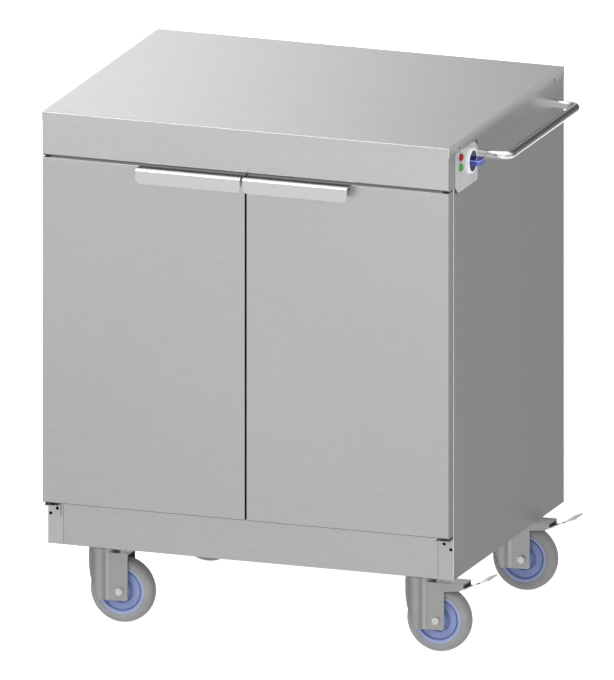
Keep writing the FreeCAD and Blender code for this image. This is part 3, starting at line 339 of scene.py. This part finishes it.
MATS["zinc_steel"] = plastic("zinc_steel", (0.33, 0.327, 0.32), (0.42, 0.417, 0.41), rough=(0.24, 0.36), metal=0.9, grain=1400, bump=0.06)
MATS["black_steel"] = plastic("black_steel", (0.012, 0.012, 0.013), (0.025, 0.025, 0.027), rough=(0.35, 0.5), metal=0.3)
MATS["element_sheath"] = plastic("element_sheath", (0.12, 0.10, 0.085), (0.24, 0.19, 0.15), rough=(0.4, 0.6), metal=0.8, grain=600)
MATS["mineral_wool"] = plastic("mineral_wool", (0.36, 0.30, 0.18), (0.55, 0.48, 0.32), rough=(0.9, 1.0), grain=500, bump=0.5, spec=0.1)
MATS["gasket_rubber"] = plastic("gasket_rubber", (0.02, 0.02, 0.02), (0.035, 0.035, 0.035), rough=(0.6, 0.75), spec=0.3)
MATS["black_plastic"] = plastic("black_plastic", (0.018, 0.018, 0.019), (0.03, 0.03, 0.032), rough=(0.4, 0.55))
MATS["white_plastic"] = plastic("white_plastic", (0.80, 0.81, 0.84), (0.88, 0.89, 0.91), rough=(0.22, 0.32), bump=0.02, coat=0.3)
MATS["grey_plastic"] = plastic("grey_plastic", (0.06, 0.062, 0.066), (0.09, 0.092, 0.097), rough=(0.45, 0.6))
MATS["cable_sleeve"] = plastic("cable_sleeve", (0.02, 0.02, 0.022), (0.035, 0.035, 0.038), rough=(0.5, 0.65))
MATS["lens_red"] = plastic("lens_red", (0.26, 0.003, 0.006), (0.38, 0.006, 0.012), rough=(0.15, 0.25), bump=0.01, spec=0.25, coat=0.15, coatrough=0.08)
MATS["lens_green"] = plastic("lens_green", (0.05, 0.26, 0.05), (0.08, 0.34, 0.08), rough=(0.15, 0.25), bump=0.01, spec=0.25, coat=0.15, coatrough=0.08)


def knob_material():
    """Two-tone blue knob: dark disc, brighter grip bar, glossy."""
    m = Mat("knob_blue")
    x, y, z = m.sep()
    n2 = m.noise(m.mapping(loc=(4.2, 1.1, 7.7)), 60.0, 3.0, 0.55)
    bar = m.math("GREATER_THAN", x, P(399.6 + 2.0 + 5.6, 0, 0).x)
    disc = m.mix(m.mapr(n2, 0.3, 0.7, 0, 1), (0.010, 0.014, 0.075), (0.016, 0.021, 0.105))
    grip = m.mix(m.mapr(n2, 0.3, 0.7, 0, 1), (0.018, 0.026, 0.26), (0.030, 0.042, 0.36))
    m.set(base=m.mix(bar, disc, grip), rough=m.mapr(n2, 0.3, 0.7, 0.16, 0.26), spec=m.math("ADD", 0.12, m.math("MULTIPLY", bar, 0.4)),
          coat=m.math("MULTIPLY", bar, 0.8), coatrough=0.06)
    # painted highlight: the grip bar's rounded edges that face upwards glow pale blue
    nx, ny, nz = m.sep(m.nt.nodes.new("ShaderNodeTexCoord").outputs["Normal"])
    big = m.math("MAXIMUM", m.math("ABSOLUTE", nx), m.math("MAXIMUM", m.math("ABSOLUTE", ny), m.math("ABSOLUTE", nz)))
    rim_highlight = m.math("MULTIPLY", m.mapr(big, 0.97, 0.84, 0.0, 1.0, smooth=True), m.math("MULTIPLY", bar, m.mapr(nz, -0.1, 0.3, 0.0, 1.0)))
    m.set(emit=(0.55, 0.65, 1.0), emits=m.math("MULTIPLY", rim_highlight, 0.75))
    m.m.cycles.emission_sampling = "NONE"
    m.bump(m.noise(m.mapping(), 900.0, 2.0, 0.5), 0.02, 0.0002)
    return m.m


def wheel_material(name, stops, dark, light, rough, bump, grain=900.0):
    """Moulded wheel part whose tone changes with the distance from the axle."""
    m = Mat(name)
    g = m.nt.nodes.new("ShaderNodeTexCoord").outputs["Generated"]
    gx, gy, gz = m.sep(g)
    dx = m.math("SUBTRACT", gx, 0.5)
    dz = m.math("SUBTRACT", gz, 0.5)
    r = m.math("MULTIPLY", m.math("SQRT", m.math("ADD", m.math("MULTIPLY", dx, dx), m.math("MULTIPLY", dz, dz))), 2.0)
    n1 = m.noise(m.mapping(), grain, 2.0, 0.5)
    n2 = m.noise(m.mapping(loc=(4.2, 1.1, 7.7)), 30.0, 3.0, 0.55)
    f = m.math("ADD", m.math("MULTIPLY", m.mapr(n2, 0.3, 0.7, 0, 1), 0.7), m.math("MULTIPLY", m.mapr(n1, 0.3, 0.7, 0, 1), 0.3))
    col = m.mix(f, dark, light)
    col = m.mix(1.0, col, m.ramp(r, stops), "MULTIPLY")
    m.set(base=col, rough=m.mapr(n2, 0.3, 0.7, rough[0], rough[1]), spec=0.4)
    m.bump(n1, bump, 0.0003)
    return m.m


MATS["knob_blue"] = knob_material()
# painted shade in a dark ring at the groove and a painted highlight on the outer rim
MATS["hub_blue"] = wheel_material("hub_blue", [(0.0, (0.85, 0.85, 0.85)), (0.36, (0.95, 0.95, 0.95)), (0.42, (0.78, 0.8, 0.86)), (0.52, (0.92, 0.93, 0.95)),
                                               (0.80, (0.95, 0.95, 0.97)), (0.86, (1.0, 1.0, 1.0)), (0.92, (1.25, 1.2, 1.08)), (1.0, (1.35, 1.3, 1.12))],
                                  (0.185, 0.232, 0.43), (0.225, 0.272, 0.49), (0.40, 0.55), 0.05)
MATS["tyre_grey"] = wheel_material("tyre_grey", [(0.0, (1, 1, 1)), (0.72, (1.0, 1.0, 1.0)), (0.76, (1.02, 1.03, 1.10)), (0.82, (1.0, 1.0, 1.02)), (0.92, (0.98, 0.98, 0.97)),
                                                 (1.0, (0.88, 0.88, 0.87))],
                                   (0.214, 0.214, 0.212), (0.275, 0.275, 0.271), (0.5, 0.65), 0.12)


def label_material():
    m = Mat("panel_label")
    x, y, z = m.sep()
    n1 = m.noise(m.mapping(), 1400.0, 2.0, 0.5)
    n2 = m.noise(m.mapping(loc=(2.2, 5.1, 3.7)), 30.0, 2.0, 0.5)
    base = m.mix(m.mapr(n2, 0.3, 0.7, 0, 1), (0.43, 0.438, 0.45), (0.50, 0.508, 0.52))
    yc, zc = 0.0, 0.0
    # blue swoosh at the top rear corner: outside an arc about the knob
    y1, z1 = P(0, -159, 0).y, 0.968
    y0, z0 = P(0, -279, 0).y, 0.890

    def arc(cy, cz, r, sgn):
        dy = m.math("SUBTRACT", y, cy)
        dz = m.math("SUBTRACT", z, cz)
        d = m.math("SQRT", m.math("ADD", m.math("MULTIPLY", dy, dy), m.math("MULTIPLY", dz, dz)))
        return m.mapr(m.math("MULTIPLY", m.math("SUBTRACT", d, r), sgn), -0.0004, 0.0004, 0.0, 1.0)

    top = m.math("MULTIPLY", arc(y1 - 0.052, z1 - 0.060, 0.0690, 1), m.math("GREATER_THAN", z, z1 - 0.055))
    top = m.math("MULTIPLY", top, m.math("GREATER_THAN", y, y1 - 0.040))
    bot = m.math("MULTIPLY", arc(y0 + 0.040, z0 + 0.046, 0.052, 1), m.math("LESS_THAN", z, z0 + 0.050))
    bot = m.math("MULTIPLY", bot, m.math("LESS_THAN", y, y0 + 0.036))
    blue = m.math("MAXIMUM", top, bot)
    col = m.mix(blue, base, (0.030, 0.042, 0.16))
    m.set(base=col, rough=m.mapr(n2, 0.3, 0.7, 0.30, 0.40), coat=0.25, coatrough=0.2)
    m.bump(n1, 0.03, 0.0002)
    return m.m


MATS["panel_label"] = label_material()


def fork_material(name, hub):
    """Zinc-plated pressing. The rolled nose has painted reflection and shade: light and dark bands across its curve.
    The axle bolt's head is brighter.
    """
    m = Mat(name)
    n1 = m.noise(m.mapping(), 1400.0, 2.0, 0.5)
    n2 = m.noise(m.mapping(loc=(4.2, 1.1, 7.7)), 25.0, 3.0, 0.55)
    f = m.math("ADD", m.math("MULTIPLY", m.mapr(n2, 0.3, 0.7, 0, 1), 0.7), m.math("MULTIPLY", m.mapr(n1, 0.3, 0.7, 0, 1), 0.3))
    col = m.mix(f, (0.345, 0.343, 0.337), (0.395, 0.393, 0.387))
    x, y, z = m.sep()
    nz = m.sep(m.nt.nodes.new("ShaderNodeTexCoord").outputs["Normal"])[2]
    qx = m.math("SUBTRACT", x, hub.x - 0.037)
    qy = m.math("ABSOLUTE", m.math("SUBTRACT", y, hub.y))
    phi = m.math("ARCTAN2", m.math("MULTIPLY", qx, -1.0 / 0.030 ** 2), m.math("MULTIPLY", qy, 1.0 / 0.027 ** 2))
    phi = m.math("MULTIPLY", phi, m.mapr(qx, 0.0176, 0.0186, 1.0, 0.0))
    deg = m.math("MULTIPLY", phi, 180.0 / math.pi)
    # painted reflection and shade: tone factors by angle round the nose
    stops = [(-90, 0.92), (-40, 0.92), (-33.7, 0.91), (-26.5, 1.02), (-23.3, 0.87), (-16.4, 0.56), (-11.8, 0.62), (-6.9, 0.77), (-2.5, 0.93), (1.4, 0.96),
             (10.3, 0.94), (18.1, 0.79), (27.2, 0.70), (38.7, 0.88), (60, 0.92), (90, 0.9)]
    painted_reflection_band = m.ramp(m.mapr(deg, -90.0, 90.0, 0.0, 1.0), [((d + 90.0) / 180.0, v) for d, v in stops])
    flat = m.math("LESS_THAN", m.math("ABSOLUTE", nz), 0.5)
    col = m.mix(flat, col, m.mix(1.0, col, painted_reflection_band, "MULTIPLY"))

    def within(v, c, r):
        return m.math("LESS_THAN", m.math("ABSOLUTE", m.math("SUBTRACT", v, c)), r)

    bolt = m.math("MULTIPLY", within(x, hub.x, 0.0085), within(z, hub.z, 0.0085))
    bolt = m.math("MULTIPLY", bolt, m.math("SUBTRACT", 1.0, within(y, hub.y, 0.0219)))
    col = m.mix(bolt, col, (0.60, 0.595, 0.58))
    m.set(base=col, metal=0.9, rough=m.mapr(n2, 0.3, 0.7, 0.24, 0.36))
    m.bump(n1, 0.06, 0.0003)
    return m.m

slot_of = {s["node"]: s["material_slot"] for s in frame["record"]["subparts"]}
for name, o in N.items():
    mat = MATS.get(slot_of.get(name))
    if mat is None:
        continue
    if name.startswith("caster_fork_"):
        pts = [v.co for v in N["wheel_hub_" + name[len("caster_fork_"):]].data.vertices]
        mid = Vector([(min(q[i] for q in pts) + max(q[i] for q in pts)) / 2 for i in range(3)])
        mat = fork_material("zinc_" + name, mid)
    o.data.materials.clear()
    o.data.materials.append(mat)

# ---------------------------------------------------------------------------
# floor, world, lights
# ---------------------------------------------------------------------------
def plane(name, pts, mat):
    me_ = bpy.data.meshes.new(name)
    me_.from_pydata(pts, [], [tuple(range(len(pts)))])
    o_ = bpy.data.objects.new(name, me_)
    o_.data.materials.append(mat)
    scene.collection.objects.link(o_)
    return o_


floor_m = Mat("floor")
fn = floor_m.noise(floor_m.mapping(), 3.0, 2.0, 0.5)
floor_m.set(base=floor_m.mix(floor_m.mapr(fn, 0.3, 0.7, 0, 1), (0.90, 0.90, 0.90), (0.92, 0.92, 0.92)), rough=0.9, spec=0.2,
            emit=(1.0, 1.0, 1.0), emits=0.80)
floor_m.m.cycles.emission_sampling = "NONE"
bounce_m = Mat("floor_bounce")
bn = bounce_m.noise(bounce_m.mapping(), 3.0, 2.0, 0.5)
bounce_m.set(base=bounce_m.mix(bounce_m.mapr(bn, 0.3, 0.7, 0, 1), (0.90, 0.90, 0.90), (0.92, 0.92, 0.92)), rough=0.9, spec=0.2,
             emit=(1.0, 1.0, 1.0), emits=0.38)
bounce_m.m.cycles.emission_sampling = "NONE"
R = 30.0
floor = plane("floor", [(-R, -R, -0.0005), (R, -R, -0.0005), (R, R, -0.0005), (-R, R, -0.0005)], floor_m.m)


def glow(name, build):
    """Plain light panel: only emission, its strength drawn from a gradient over the panel."""
    m = Mat(name)
    m.nt.nodes.remove(m.b)
    e = m.nt.nodes.new("ShaderNodeEmission")
    m.nt.links.new(e.outputs[0], m.out.inputs["Surface"])
    m.put(e.inputs["Strength"], build(m))
    return m.m


def only_glossy(o):
    o.visible_camera = False
    o.visible_diffuse = False
    o.visible_shadow = False
    o.visible_transmission = False
    o.visible_volume_scatter = False


# the floor gives diffuse light and shadows; reflections see the world's soft boxes instead
floor.visible_glossy = False
floor.visible_diffuse = False
floor.visible_shadow = False
bounce = plane("floor_bounce", [(-R, -R, -0.001), (R, -R, -0.001), (R, R, -0.001), (-R, R, -0.001)], bounce_m.m)
bounce.visible_camera = False
bounce.visible_glossy = False
bounce.visible_shadow = False

# upright panel behind the cabinet that grades the worktop from left to right
rv = Vector((math.cos(AZ), math.sin(AZ), 0))
fv = Vector((-math.sin(AZ), math.cos(AZ), 0))


def rear_glow(m):
    x, y, z = m.sep()
    u = m.math("ADD", m.math("MULTIPLY", x, rv.x), m.math("MULTIPLY", y, rv.y))
    left = m.mapr(u, -0.42, 0.50, 1.46, 0.675)
    return m.math("MULTIPLY", left, m.mapr(u, 0.62, 1.10, 1.0, 0.30, smooth=True))


c0 = fv * 1.9
rear = plane("rear_panel", [tuple(c0 - rv * 3 + Vector((0, 0, 1.02))), tuple(c0 + rv * 3 + Vector((0, 0, 1.02))),
                            tuple(c0 + rv * 3 + Vector((0, 0, 3.2))), tuple(c0 - rv * 3 + Vector((0, 0, 3.2)))], glow("rear_panel", rear_glow))
only_glossy(rear)

world = bpy.data.worlds.new("world")
scene.world = world
world.use_nodes = True
wn = world.node_tree
wn.nodes.clear()
wo = wn.nodes.new("ShaderNodeOutputWorld")
bg = wn.nodes.new("ShaderNodeBackground")
bg.inputs["Color"].default_value = (1, 1, 1, 1)
wn.links.new(bg.outputs[0], wo.inputs["Surface"])


class W(Mat):
    """The same node helpers on the world's tree."""

    def __init__(self, tree):
        self.nt = tree
        self.obj = tree.nodes.new("ShaderNodeTexCoord").outputs["Generated"]
        self.normal_sock = None


w = W(wn)
wx, wy, wz = w.sep()
# direction measured from the camera's side: right component and near component
wr = w.math("ADD", w.math("MULTIPLY", wx, rv.x), w.math("MULTIPLY", wy, rv.y))
wc = w.math("SUBTRACT", 0.0, w.math("ADD", w.math("MULTIPLY", wx, fv.x), w.math("MULTIPLY", wy, fv.y)))
turn = w.math("DIVIDE", w.math("ARCTAN2", wr, wc), math.pi)
# round the horizon, from behind-left through the camera's side to behind-right
horizon = w.ramp(w.mapr(turn, -1.0, 1.0, 0.0, 1.0), [(0.0, 1.50), (0.04, 1.20), (0.10, 0.60), (0.17, 0.60), (0.30, 0.80), (0.385, 0.90), (0.45, 1.10), (0.50, 1.30), (0.555, 1.15),
                                                    (0.60, 0.62), (0.75, 0.46), (0.89, 0.44), (0.93, 0.54), (0.965, 1.50), (1.0, 1.50)])
behind = w.mapr(wc, -0.25, 0.35, 1.0, 0.0, smooth=True)
# dark belt between the horizon and the overhead soft box, deeper at the back
belt = w.math("MULTIPLY", w.mapr(wz, 0.30, 0.46, 0.0, 1.0, smooth=True), w.mapr(wz, 0.74, 0.86, 1.0, 0.0, smooth=True))
over = w.mapr(wz, 0.76, 0.88, 0.0, 1.0, smooth=True)
level = w.mix(behind, (0.85, 0.85, 0.85), (0.30, 0.30, 0.30))
base_l = w.mix(w.mapr(wz, -0.12, 0.04, 0.0, 1.0, smooth=True), horizon, level)
low = w.mix(w.mapr(wz, -0.80, -0.52, 1.0, 0.0, smooth=True), base_l, (1.05, 1.05, 1.05))
belt_l = w.mix(behind, (1.25, 1.25, 1.25), (0.26, 0.26, 0.26))
sky = w.mix(belt, low, belt_l)
sky = w.mix(over, sky, (1.45, 1.45, 1.45))
w.put(bg.inputs["Strength"], w.math("MULTIPLY", sky, 1.0))


def area(name, loc, target, size, power, size_y=None, colour=(1, 1, 1)):
    l = bpy.data.lights.new(name, "AREA")
    l.shape = "RECTANGLE"
    l.size = size
    l.size_y = size_y or size
    l.energy = power
    l.color = colour
    o = bpy.data.objects.new(name, l)
    o.location = loc
    o.rotation_mode = "QUATERNION"
    o.rotation_quaternion = (Vector(target) - Vector(loc)).to_track_quat("-Z", "Y")
    scene.collection.objects.link(o)
    return o


area("key", (-2.2, -3.2, 3.4), (0, 0, 0.5), 1.6, 55)
